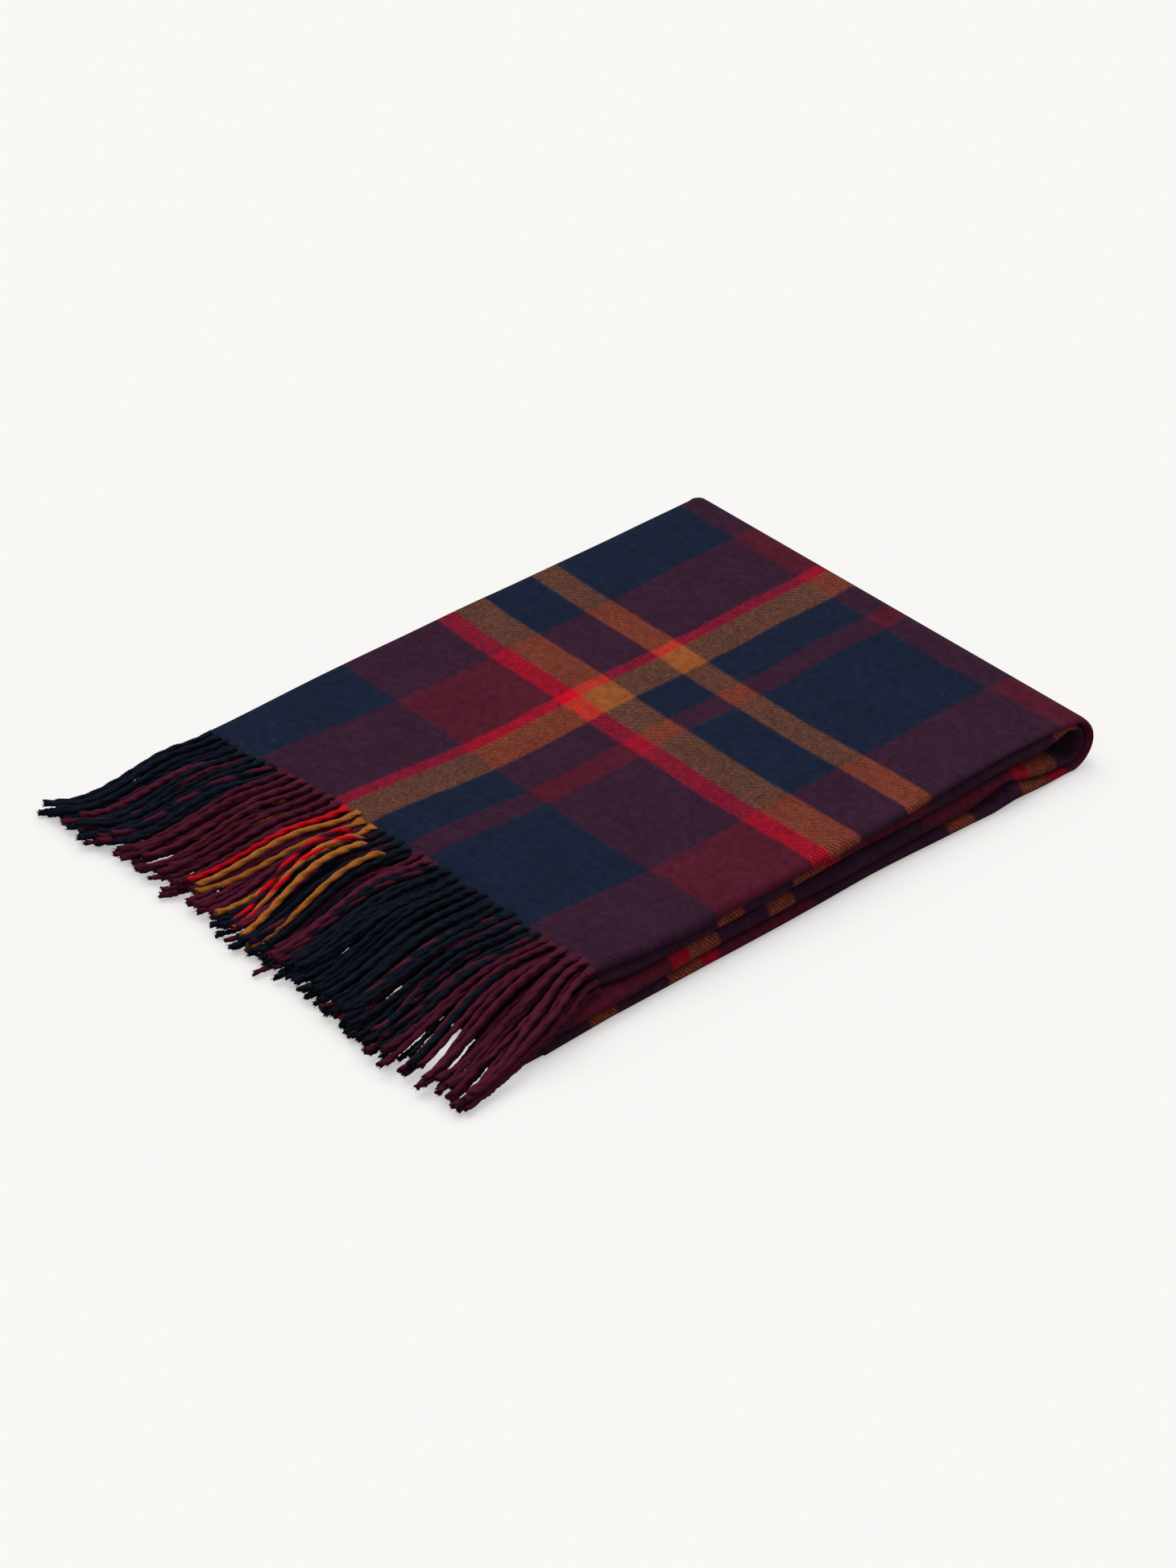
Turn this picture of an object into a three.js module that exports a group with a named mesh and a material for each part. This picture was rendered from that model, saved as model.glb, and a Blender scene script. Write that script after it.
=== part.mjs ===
// A fringed wool throw, folded four plies deep lengthwise and then three times crosswise.
// Millimetres, +Z up, +X from the fringe to the closed turns, -Y towards the thick front fold.
import * as THREE from 'three';

// Cloth and the air left between layers that lie on each other.
const PLY = 2.2;
const LAY_GAP = 0.3;
const PLIES = 4;

// Crosswise lengths: fringe edge to the far turn, and how far the lower half reaches past that edge.
const TOP_LENGTH = 400;
const NEAR_OVERHANG = 45;
const FRINGE_LENGTH = 108;

// Warp stripes of the top ply, back edge first. Their sum is the folded width.
const WARP_STRIPES = [
  { name: 'navy_back', yarn: 'navy', width: 59.5 },
  { name: 'burgundy_back', yarn: 'burgundy', width: 62.5 },
  { name: 'red', yarn: 'red', width: 9 },
  { name: 'gold', yarn: 'gold', width: 24 },
  { name: 'navy_middle', yarn: 'navy', width: 31 },
  { name: 'burgundy_middle', yarn: 'burgundy', width: 18 },
  { name: 'navy_front', yarn: 'navy', width: 90 },
  { name: 'burgundy_front', yarn: 'burgundy', width: 56 },
];

// The fringe spreads sideways towards its tips and sinks until it nearly meets the ground.
const FAN_BACK = 34;
const FAN_FRONT = 12;
const TIP_CLEARANCE = 0.6;

// Opening inside the tightest turns, and the number of steps in each round stretch.
const TURN_CORE = 1;
const ARC_STEPS = 6;

// Where the spine of the far turn hinges, measured up and down from its middle.
const HINGE_ANGLE = Math.PI / 4;

// Derived sizes.
const plyPitch = PLY + LAY_GAP;
const packHeight = PLIES * plyPitch - LAY_GAP;
const packPitch = packHeight + LAY_GAP;
const foldedWidth = WARP_STRIPES.reduce((sum, stripe) => sum + stripe.width, 0);
const stackHeight = 3 * packPitch + packHeight;
const stackMiddle = stackHeight / 2;
const outerRadius = stackHeight / 2;
const outerCore = outerRadius - packHeight;
const innerRadius = outerCore - LAY_GAP;
const nearMiddle = (packPitch + packHeight) / 2;
const nearRadius = nearMiddle;
const front = -foldedWidth / 2;
const back = foldedWidth / 2;

const yarns = {
  navy: new THREE.Color('#1a2238'),
  burgundy: new THREE.Color('#551a2e'),
  red: new THREE.Color('#c0142a'),
  gold: new THREE.Color('#a8682c'),
  plum: new THREE.Color('#39213a'),
};

function wool(yarn) {
  return new THREE.MeshStandardMaterial({ color: yarns[yarn], roughness: 0.95, metalness: 0 });
}

// An outline in Y and Z, drawn out along X.
function drawnAlongX(outline, length, startX) {
  const geometry = new THREE.ExtrudeGeometry(outline, {
    depth: length, bevelEnabled: false, curveSegments: ARC_STEPS,
  });
  const turn = new THREE.Matrix4().makeBasis(
    new THREE.Vector3(0, 1, 0), new THREE.Vector3(0, 0, 1), new THREE.Vector3(1, 0, 0));
  geometry.applyMatrix4(turn);
  geometry.translate(startX, 0, 0);
  return geometry;
}

// An outline in X and Z, drawn out along -Y from the back.
function drawnAlongY(outline, width, startY) {
  const geometry = new THREE.ExtrudeGeometry(outline, {
    depth: width, bevelEnabled: false, curveSegments: ARC_STEPS,
  });
  const turn = new THREE.Matrix4().makeBasis(
    new THREE.Vector3(1, 0, 0), new THREE.Vector3(0, 0, 1), new THREE.Vector3(0, -1, 0));
  geometry.applyMatrix4(turn);
  geometry.translate(0, startY, 0);
  return geometry;
}

// The cloth's section across the folded width: one strip that goes from a selvedge round the thick
// front fold, back to the first fold, round the tight front fold and out to the other selvedge.
function foldedSection(base) {
  const half = PLY / 2;
  const bottom = base + half;
  const lower = bottom + plyPitch;
  const upper = lower + plyPitch;
  const top = upper + plyPitch;
  const middle = (bottom + top) / 2;
  const wide = (top - bottom) / 2;
  const tight = plyPitch / 2;
  const frontCentre = front + wide + half;
  const backCentre = back - tight - half;
  const down = -Math.PI / 2;
  const up = Math.PI / 2;
  const section = new THREE.Shape();
  section.moveTo(back, bottom - half);
  section.lineTo(frontCentre, bottom - half);
  section.absarc(frontCentre, middle, wide + half, down, up, true);
  section.lineTo(backCentre, top + half);
  section.absarc(backCentre, top - tight, tight + half, up, down, true);
  section.lineTo(frontCentre, upper - half);
  section.absarc(frontCentre, middle, tight - half, up, down, false);
  section.lineTo(back, lower + half);
  section.lineTo(back, lower - half);
  section.lineTo(frontCentre, lower - half);
  section.absarc(frontCentre, middle, tight + half, down, up, true);
  section.lineTo(backCentre, upper + half);
  section.absarc(backCentre, top - tight, tight - half, down, up, false);
  section.lineTo(frontCentre, top - half);
  section.absarc(frontCentre, middle, wide - half, up, down, false);
  section.lineTo(back, bottom + half);
  section.closePath();
  return section;
}

// One quarter of the throw's length, lying flat.
function quarter(startX, base) {
  return drawnAlongX(foldedSection(base), TOP_LENGTH - LAY_GAP - startX, startX);
}

// A stretch of a crosswise turn: a ring sector about (centreX, centreZ), as wide as the throw.
function turnSector(centreX, centreZ, core, radius, from, to) {
  const sector = new THREE.Shape();
  sector.moveTo(centreX + radius * Math.cos(from), centreZ + radius * Math.sin(from));
  sector.absarc(centreX, centreZ, radius, from, to, false);
  sector.lineTo(centreX + core * Math.cos(to), centreZ + core * Math.sin(to));
  sector.absarc(centreX, centreZ, core, to, from, true);
  sector.closePath();
  return drawnAlongY(sector, foldedWidth, back);
}

// The far turn in three stretches, parted at the two hinge lines.
function farTurn(name, yarn, core, radius) {
  const trim = LAY_GAP / 2 / outerRadius;
  const right = Math.PI / 2;
  const stretches = [
    { end: 'lower', from: -right, to: -HINGE_ANGLE - trim },
    { end: 'spine', from: -HINGE_ANGLE + trim, to: HINGE_ANGLE - trim },
    { end: 'upper', from: HINGE_ANGLE + trim, to: right },
  ];
  return stretches.map(({ end, from, to }) => ({
    name: `${name}_${end}`,
    geometry: turnSector(TOP_LENGTH, stackMiddle, core, radius, from, to),
    material: wool(yarn),
  }));
}

// Side view of one fringe layer: level over the near turn, then sinking in a soft S to its tips.
function fringeSide(base) {
  const levelEnd = -(NEAR_OVERHANG + nearRadius + PLY);
  const tip = -LAY_GAP - FRINGE_LENGTH;
  const sink = 2 * packPitch - TIP_CLEARANCE;
  const reach = (levelEnd - tip) / 2;
  const top = base + PLY;
  const side = new THREE.Shape();
  side.moveTo(-LAY_GAP, base);
  side.lineTo(-LAY_GAP, top);
  side.lineTo(levelEnd, top);
  side.bezierCurveTo(levelEnd - reach, top, tip + reach, top - sink, tip, top - sink);
  side.lineTo(tip, base - sink);
  side.bezierCurveTo(tip + reach, base - sink, levelEnd - reach, base, levelEnd, base);
  side.closePath();
  return side;
}

// Yarn ends from one stretch of the fringe edge, spread sideways towards the tips.
function fringeBundle(base, fromBack, width) {
  const geometry = drawnAlongY(fringeSide(base), width - LAY_GAP, back - fromBack - LAY_GAP / 2);
  const position = geometry.getAttribute('position');
  for (let i = 0; i < position.count; i += 1) {
    const along = (-position.getX(i) - LAY_GAP) / FRINGE_LENGTH;
    const across = (position.getY(i) - front) / foldedWidth;
    const spread = THREE.MathUtils.lerp(-FAN_FRONT, FAN_BACK, across) * along * along;
    position.setY(i, position.getY(i) + spread);
  }
  geometry.computeVertexNormals();
  return geometry;
}

// The layer of fringe that can be seen, one bundle for each warp stripe.
function stripedFringe(base) {
  const bundles = [];
  let fromBack = 0;
  for (const stripe of WARP_STRIPES) {
    bundles.push({
      name: `fringe_${stripe.name}`,
      geometry: fringeBundle(base, fromBack, stripe.width),
      material: wool(stripe.yarn),
    });
    fromBack += stripe.width;
  }
  return bundles;
}

// Fringe layers under it, one bundle to a ply.
function plainFringe(name, base, count) {
  const bundles = [];
  for (let ply = 0; ply < count; ply += 1) {
    bundles.push({
      name: `${name}_ply_${ply + 1}`,
      geometry: fringeBundle(base + ply * plyPitch, 0, foldedWidth),
      material: wool(ply % 2 ? 'burgundy' : 'navy'),
    });
  }
  return bundles;
}

const pieces = [
  { name: 'bottom_quarter', geometry: quarter(-NEAR_OVERHANG, 0), material: wool('navy') },
  { name: 'third_quarter', geometry: quarter(-NEAR_OVERHANG, packPitch), material: wool('plum') },
  {
    name: 'near_turn',
    geometry: turnSector(-NEAR_OVERHANG - LAY_GAP, nearMiddle, TURN_CORE, nearRadius,
      Math.PI / 2, 3 * Math.PI / 2),
    material: wool('burgundy'),
  },
  { name: 'second_quarter', geometry: quarter(0, 2 * packPitch), material: wool('plum') },
  { name: 'top_quarter', geometry: quarter(0, 3 * packPitch), material: wool('burgundy') },
  ...farTurn('outer_turn', 'burgundy', outerCore, outerRadius),
  ...farTurn('inner_turn', 'navy', TURN_CORE, innerRadius),
  ...plainFringe('under_fringe', 2 * packPitch, PLIES),
  ...plainFringe('fringe', 3 * packPitch, PLIES - 1),
  ...stripedFringe(3 * packPitch + (PLIES - 1) * plyPitch),
];

const throwBlanket = new THREE.Group();
for (const { name, geometry, material } of pieces) {
  const mesh = new THREE.Mesh(geometry, material);
  mesh.name = name;
  throwBlanket.add(mesh);
}

// The origin stands under the middle of the whole, fringe included.
const nearEnd = -LAY_GAP - FRINGE_LENGTH;
const farEnd = TOP_LENGTH + outerRadius;
throwBlanket.position.set(-(nearEnd + farEnd) / 2, -(FAN_BACK - FAN_FRONT) / 2, 0);

export default throwBlanket;
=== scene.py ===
import math

import bpy
import numpy as np
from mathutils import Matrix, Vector


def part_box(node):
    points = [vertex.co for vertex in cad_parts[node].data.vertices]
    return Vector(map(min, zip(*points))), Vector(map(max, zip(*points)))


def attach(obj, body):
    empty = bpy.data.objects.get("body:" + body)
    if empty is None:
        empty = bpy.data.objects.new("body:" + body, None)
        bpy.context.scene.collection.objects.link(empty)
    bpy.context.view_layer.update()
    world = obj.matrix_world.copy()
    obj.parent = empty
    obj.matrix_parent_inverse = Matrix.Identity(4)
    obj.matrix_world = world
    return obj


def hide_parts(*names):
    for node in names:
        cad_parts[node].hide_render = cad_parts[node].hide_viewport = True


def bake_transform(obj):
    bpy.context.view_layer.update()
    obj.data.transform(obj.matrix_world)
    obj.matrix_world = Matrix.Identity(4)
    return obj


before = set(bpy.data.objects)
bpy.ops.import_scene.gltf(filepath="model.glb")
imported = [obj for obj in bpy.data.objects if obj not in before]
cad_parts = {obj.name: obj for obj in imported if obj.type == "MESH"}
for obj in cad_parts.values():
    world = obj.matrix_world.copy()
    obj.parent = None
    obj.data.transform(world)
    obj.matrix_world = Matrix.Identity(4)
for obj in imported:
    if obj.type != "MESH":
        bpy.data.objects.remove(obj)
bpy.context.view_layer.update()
bpy.ops.object.select_all(action="DESELECT")


# ---------------------------------------------------------------------------------------------
# The cloth as a material: brushed wool twill, woven from navy, burgundy, red and gold yarn in a
# check, then raised into a short nap. Warp and weft stripes cross, so most patches mix two yarns.
# The first UV axis runs across the cloth and the second along it, both in metres.

MM = 0.001
NAVY = "#182036"
BURGUNDY = "#501829"
RED = "#cb0722"
GOLD = "#925129"
PALE_FIBRE = "#8d8390"
# Stripe starts in millimetres from the back edge of the top ply, and from the fringe.
WARP_REPEAT = 234.5
WARP = [(0, NAVY), (59.5, BURGUNDY), (122, RED), (131, GOLD), (155, NAVY), (186, BURGUNDY), (204, NAVY)]
WEFT_REPEAT = 290
WEFT = [(0, NAVY), (98, BURGUNDY), (174.5, RED), (189, GOLD), (214, NAVY), (255, GOLD), (275.7, NAVY)]
# The nap carries fibres over a stripe's edge by about a millimetre, and softens it.
EDGE_BLUR = 0.9
EDGE_STRAY = 1.1
# Twill ribs are 2 mm apart, as the real ones are, and so 2.8 mm apart along the cloth's edges.
RIB_STEP = 2.8
# Pattern scales are counts in a metre.
FIBRE_SCALE = (420, 1500, 1)  # streaks about 2.4 mm long and 0.7 mm wide
FUZZ_SCALE = 1600  # single fibres, 0.6 mm
EDGE_SCALE = 700  # fibres over a stripe's edge, 1.4 mm
LINT_SCALE = 330  # patches with pale fibres in them, 3 mm
TUFT_SCALE = 170  # tufts of the nap, 6 mm
CLOUD_SCALE = 28  # the lie of the nap, 36 mm
EYE_GAMMA = 2.2


def linear(hex_colour):
    """An sRGB hex colour as linear RGBA."""
    channels = [int(hex_colour[i:i + 2], 16) / 255 for i in (1, 3, 5)]
    return [c / 12.92 if c <= 0.04045 else ((c + 0.055) / 1.055) ** 2.4 for c in channels] + [1]


def new_material(name):
    """An empty node material; its Principled shader is node 'Principled BSDF'."""
    material = bpy.data.materials.new(name)
    material.use_nodes = True
    return material


def node(material, kind, settings=None, inputs=None, links=None):
    """Adds a node: settings are its properties, inputs its socket values, links its sockets' sources."""
    made = material.node_tree.nodes.new(kind)
    for key, value in (settings or {}).items():
        setattr(made, key, value)
    for key, value in (inputs or {}).items():
        made.inputs[key].default_value = value
    for key, source in (links or {}).items():
        material.node_tree.links.new(source, made.inputs[key])
    return made


def maths(material, operation, *values):
    """A Math node; each value is a number or a socket. Returns its output."""
    inputs = {i: v for i, v in enumerate(values) if isinstance(v, (int, float))}
    links = {i: v for i, v in enumerate(values) if not isinstance(v, (int, float))}
    return node(material, "ShaderNodeMath", {"operation": operation}, inputs, links).outputs[0]


def stripes(material, place, starts, repeat):
    """The yarn colour at a place in metres, from stripes that repeat and have soft edges."""
    wrapped = maths(material, "FLOORED_MODULO", place, repeat * MM)
    share = maths(material, "DIVIDE", wrapped, repeat * MM)
    ramp = node(material, "ShaderNodeValToRGB", links={0: share})
    stops = [(0, starts[0][1])]
    for (_, before), (start, colour) in zip(starts, starts[1:]):
        stops += [(start - EDGE_BLUR, before), (start + EDGE_BLUR, colour)]
    marks = ramp.color_ramp.elements
    while len(marks) < len(stops):
        marks.new(0.5)
    for mark, (start, colour) in zip(marks, stops):
        mark.position = start / repeat
        mark.color = linear(colour)
    return ramp.outputs["Color"]


def checked_wool():
    """Brushed wool twill: matt, softly furred, with mixed yarn specks and faint diagonal ribs."""
    wool = new_material("brushed_wool_twill")
    uv = node(wool, "ShaderNodeUVMap", {"uv_map": "weave"}).outputs[0]
    split = node(wool, "ShaderNodeSeparateXYZ", links={0: uv})
    across, along = split.outputs[0], split.outputs[1]
    edge_noise = node(wool, "ShaderNodeTexNoise", {},
                      {"Scale": EDGE_SCALE, "Detail": 2, "Roughness": 0.6}, {"Vector": uv})
    edge = node(wool, "ShaderNodeSeparateXYZ", links={0: edge_noise.outputs["Color"]})
    stray = EDGE_STRAY * MM
    shift_across = maths(wool, "MULTIPLY_ADD", edge.outputs[0], 2 * stray, -stray)
    shift_along = maths(wool, "MULTIPLY_ADD", edge.outputs[1], 2 * stray, -stray)
    warp = stripes(wool, maths(wool, "ADD", across, shift_across), WARP, WARP_REPEAT)
    weft = stripes(wool, maths(wool, "ADD", along, shift_along), WEFT, WEFT_REPEAT)
    # Ribs run along the diagonal, and the fibre streaks lie along the ribs.
    diagonal = maths(wool, "SUBTRACT", along, across)
    rib = maths(wool, "SINE", maths(wool, "MULTIPLY", diagonal, 2 * math.pi / (RIB_STEP * MM)))
    turned = node(wool, "ShaderNodeMapping", {}, {"Rotation": (0, 0, -math.pi / 4)}, {"Vector": uv})
    stretched = node(wool, "ShaderNodeMapping", {}, {"Scale": FIBRE_SCALE}, {"Vector": turned.outputs[0]})
    streak = node(wool, "ShaderNodeTexNoise", {}, {"Scale": 1, "Detail": 3, "Roughness": 0.65},
                  {"Vector": stretched.outputs[0]}).outputs["Fac"]
    cloud = node(wool, "ShaderNodeTexNoise", {}, {"Scale": CLOUD_SCALE, "Detail": 3, "Roughness": 0.6},
                 {"Vector": uv}).outputs["Fac"]
    # How far the warp shows over the weft at each point.
    rib_share = maths(wool, "MULTIPLY", rib, maths(wool, "MULTIPLY_ADD", cloud, 0.7, -0.1))
    share = maths(wool, "ADD", maths(wool, "MULTIPLY_ADD", streak, 2.4, -0.7), rib_share)
    share = node(wool, "ShaderNodeClamp", {}, {"Min": 0.05, "Max": 0.95}, {"Value": share}).outputs[0]
    # Fibres blend to the eye in even steps of tone, so the mix is made on a gamma scale.
    warp_tone = node(wool, "ShaderNodeGamma", {}, {"Gamma": 1 / EYE_GAMMA}, {"Color": warp})
    weft_tone = node(wool, "ShaderNodeGamma", {}, {"Gamma": 1 / EYE_GAMMA}, {"Color": weft})
    mixed = node(wool, "ShaderNodeMix", {"data_type": "RGBA"}, {},
                 {"Factor": share, "A": warp_tone.outputs[0], "B": weft_tone.outputs[0]})
    mixed_colour = node(wool, "ShaderNodeGamma", {}, {"Gamma": EYE_GAMMA},
                        {"Color": mixed.outputs["Result"]})
    # Tone varies with the lie of the nap: broad patches, and fine fibres.
    fuzz = node(wool, "ShaderNodeTexNoise", {}, {"Scale": FUZZ_SCALE, "Detail": 2, "Roughness": 0.7},
                {"Vector": uv}).outputs["Fac"]
    tuft = node(wool, "ShaderNodeTexNoise", {}, {"Scale": TUFT_SCALE, "Detail": 4, "Roughness": 0.6},
                {"Vector": uv}).outputs["Fac"]
    tone = maths(wool, "MULTIPLY_ADD", fuzz, 0.9, 0.5)
    tone = maths(wool, "MULTIPLY", tone, maths(wool, "MULTIPLY_ADD", cloud, 0.5, 0.76))
    tone = maths(wool, "MULTIPLY", tone, maths(wool, "MULTIPLY_ADD", tuft, 1.2, 0.4))
    shaded = node(wool, "ShaderNodeVectorMath", {"operation": "SCALE"}, {},
                  {0: mixed_colour.outputs[0], "Scale": tone})
    # Rare pale fibres.
    lint = node(wool, "ShaderNodeTexVoronoi", {"feature": "DISTANCE_TO_EDGE"},
                {"Scale": 1, "Randomness": 1}, {"Vector": stretched.outputs[0]})
    sparse = node(wool, "ShaderNodeTexNoise", {}, {"Scale": LINT_SCALE, "Detail": 1}, {"Vector": uv})
    speck = maths(wool, "GREATER_THAN", sparse.outputs["Fac"], 0.76)
    thin = maths(wool, "LESS_THAN", lint.outputs["Distance"], 0.05)
    pale = node(wool, "ShaderNodeMix", {"data_type": "RGBA"}, {"B": linear(PALE_FIBRE)},
                {"Factor": maths(wool, "MULTIPLY", maths(wool, "MULTIPLY", speck, thin), 0.35),
                 "A": shaded.outputs[0]})
    height = maths(wool, "MULTIPLY_ADD", streak, 0.7, maths(wool, "MULTIPLY", rib_share, 0.8))
    bump = node(wool, "ShaderNodeBump", {}, {"Strength": 0.6, "Distance": 0.0006},
                {"Height": maths(wool, "ADD", height, maths(wool, "MULTIPLY", fuzz, 0.4))})
    shader = wool.node_tree.nodes["Principled BSDF"]
    shader.inputs["Roughness"].default_value = 1.0
    shader.inputs["Specular IOR Level"].default_value = 0.06
    shader.inputs["Sheen Weight"].default_value = 0.02
    shader.inputs["Sheen Roughness"].default_value = 0.4
    wool.node_tree.links.new(pale.outputs["Result"], shader.inputs["Base Color"])
    wool.node_tree.links.new(bump.outputs[0], shader.inputs["Normal"])
    return wool


wool = checked_wool()


# ---------------------------------------------------------------------------------------------
# The folded stack: one cloth, 1.40 x 1.80 m, folded four plies deep along its length and then
# three times across. It is laid here in four quarters of the length that meet where it turns.
# Lengths are millimetres: x from the fringe root, v from the back edge to the front, z up.

quarter_low, quarter_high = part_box("top_quarter")
ROOT_X = quarter_low.x / MM
BACK_Y = quarter_high.y / MM
STACK = quarter_high.z / MM
LAY_GAP = 0.3
FAR = (quarter_high.x - quarter_low.x) / MM + LAY_GAP
WIDTH = (quarter_high.y - quarter_low.y) / MM
NEAR = (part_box("bottom_quarter")[0].x / MM - ROOT_X) - LAY_GAP
PITCH = (STACK + LAY_GAP) / 4
PLY = 2.1
# The front edge swells and thins within this band, measured back from the folded width.
BAND_START = 62
BAND_END = 10
# Rows of the weave that are drawn: one every 3 mm, and 12 in half a far turn.
ROW_STEP = 3.0
TURN_ROWS = 12
NEAR_TURN_ROWS = 25
# Path lengths of half a far turn and of the near turn, and how far the bottom quarter stops short of it.
OUTER_HALF_PATH = 30
INNER_HALF_PATH = 25
NEAR_PATH = 28
NEAR_SEAM = 15
# The place along the cloth, from the fringe root, at x = 0 of each quarter.
BOTTOM_PLACE = 860
THIRD_PLACE = 978
SECOND_PLACE = 1827


def row_frame(x, v, z):
    """A point of the stack in metres, in the frame of the CAD model."""
    return np.stack(np.broadcast_arrays(ROOT_X + x, BACK_Y - v, z), axis=-1) * MM


def soft_step(start, end, value):
    """0 at start, 1 at end, and smooth between."""
    t = np.clip((value - start) / (end - start), 0, 1)
    return t * t * (3 - 2 * t)


def along(x, *pairs):
    """A size that changes along the stack, from (x, size) pairs."""
    return np.interp(x, [p[0] for p in pairs], [p[1] for p in pairs])


def ripple(x, v, seed, wave):
    """Slow uneven waves between about -1 and 1."""
    total = 0
    for k in range(4):
        angle = seed * 1.7 + k * 2.4
        size = wave * (0.6 + 0.35 * k)
        total = total + np.sin((x * math.cos(angle) + v * math.sin(angle)) / size + seed * (k + 1))
    return total / 3


def root_edge(v):
    """Where the top ply ends under the fringe: the cloth is laid a little askew."""
    return along(v, (0, -9), (40, -7), (75, 0), (140, 3), (200, 7), (300, 8), (340, 12))


def warp_drift(x):
    """How far the lengthwise stripes of the top ply lie out of line, most where the fringe pulls them."""
    return along(x, (0, -9), (40, -6), (80, -2.2), (130, -0.2), (160, -0.6), (200, -1.8),
                 (240, -0.6), (300, 0), (340, -3), (380, -2.5), (FAR, -3.5))


def weft_drift(v):
    """How far the crosswise stripes of the top ply lie out of line."""
    return along(v, (0, 3), (30, 1.3), (115, 1), (160, -0.7), (220, -0.7), (250, -1.6), (280, -0.5),
                 (310, 1.2), (345, 2.5))


def levels(x, v):
    """The heights between which each quarter lies: even inside the stack, and at the front edge as
    the folds there swell, thin and part."""
    front = soft_step(WIDTH - BAND_START, WIDTH - BAND_END, v)

    def height(inner, *edge):
        return inner + front * (along(x, *edge) - inner)

    bottom_high = height(
        PITCH - LAY_GAP, (-45, 7.6), (60, 7.8), (150, 7.2), (250, 7.8), (310, 7.2),
        (332, 7.4), (341, 11.0), (350, 14.4), (358, 11.2), (368, 7.8), (380, 5.3), (FAR, 4.9))
    hollow = front * along(x, (312, 0), (322, 1.6), (333, 6.6), (342, 5), (350, 0.6), (360, 0))
    third_high = height(
        2 * PITCH - LAY_GAP, (-45, 18.6), (60, 19.2), (150, 18.8), (250, 18.6), (290, 19.6),
        (310, 21.0), (328, 23.3), (346, 23.7), (360, 20.6), (375, 17.8), (388, 14.8), (FAR, 10.0))
    second_low = height(
        2 * PITCH, (-45, 19.1), (60, 19.7), (150, 19.3), (250, 19.1), (290, 20.1),
        (310, 21.6), (328, 23.9), (346, 24.4), (366, 22.8), (382, 22.6), (391, 25.8), (FAR, 29.7))
    second_high = height(
        3 * PITCH - LAY_GAP, (0, 29.6), (60, 29.2), (150, 29.9), (250, 30.8), (300, 32.8),
        (345, 34.2), (FAR, 34.5))
    # The top face ripples, and sinks where the fringe pulls at it.
    waves = 0.7 * ripple(x, v, 3, 34) + 0.25 * ripple(x, v, 21, 12)
    sink = 1.6 * soft_step(9, -3, x - root_edge(v)) * (x < 60)
    return {
        "bottom": (0.15 + 0 * front, bottom_high),
        "third": (bottom_high + (LAY_GAP + hollow), third_high),
        "second": (second_low, second_high),
        "top": (second_high + LAY_GAP, STACK - 0.6 + waves - sink),
    }


# Where each quarter's front fold lies, from (x, v) pairs.
FRONT_EDGE = {
    "top": ((0, 338.5), (28, 344), (80, 349), (200, 350.5), (300, 349.2), (350, 348.8),
            (385, 350), (FAR, 353)),
    "second": ((0, 338.5), (30, 344), (110, 346), (220, 345.5), (300, 348), (340, 349.5), (FAR, 351)),
    "third": ((NEAR, 347), (40, 348.5), (120, 346.5), (220, 349), (300, 349.5), (345, 351.5), (FAR, 352)),
    "bottom": ((NEAR, 349), (20, 347), (120, 349), (230, 349.5), (310, 352), (345, 354.5), (FAR, 354.5)),
}
# Where the front edges of the two far turns lie at their middles.
OUTER_TURN_EDGE = 355.0
INNER_TURN_EDGE = 351.5
# How far the stripes of the waved front edges lie out of line along the cloth.
UNDER_DRIFT = {"third": ((60, -2), (350, 8)), "second": ((180, 4), (390, -4))}


def section_columns():
    """The columns of one ply path: from the selvedge of the lowest ply round the thick front fold,
    over the face ply to the back fold, forward to the inner front fold and out to the other selvedge.
    Each is (stretch, share of that stretch). The hidden plies have close columns near their folds."""
    near_back, middle, near_front = (0, 0.08, 5), (0.08, 0.8, 14), (0.8, 1, 16)
    hidden = np.concatenate([np.linspace(*near_back), np.linspace(*middle)[1:],
                             np.linspace(*near_front)[1:]])
    columns = [("inner_face", s) for s in hidden]
    columns += [("front_fold", s) for s in np.linspace(0, 1, 15)[1:-1]]
    columns += [("face", s) for s in np.linspace(0, 1, 96)]
    columns += [("back_fold", s) for s in np.linspace(0, 1, 9)[1:-1]]
    columns += [("second_ply", s) for s in hidden]
    columns += [("inner_fold", s) for s in np.linspace(0, 1, 8)[1:-1]]
    columns += [("third_ply", s) for s in 1 - hidden[::-1]]
    return columns


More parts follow.
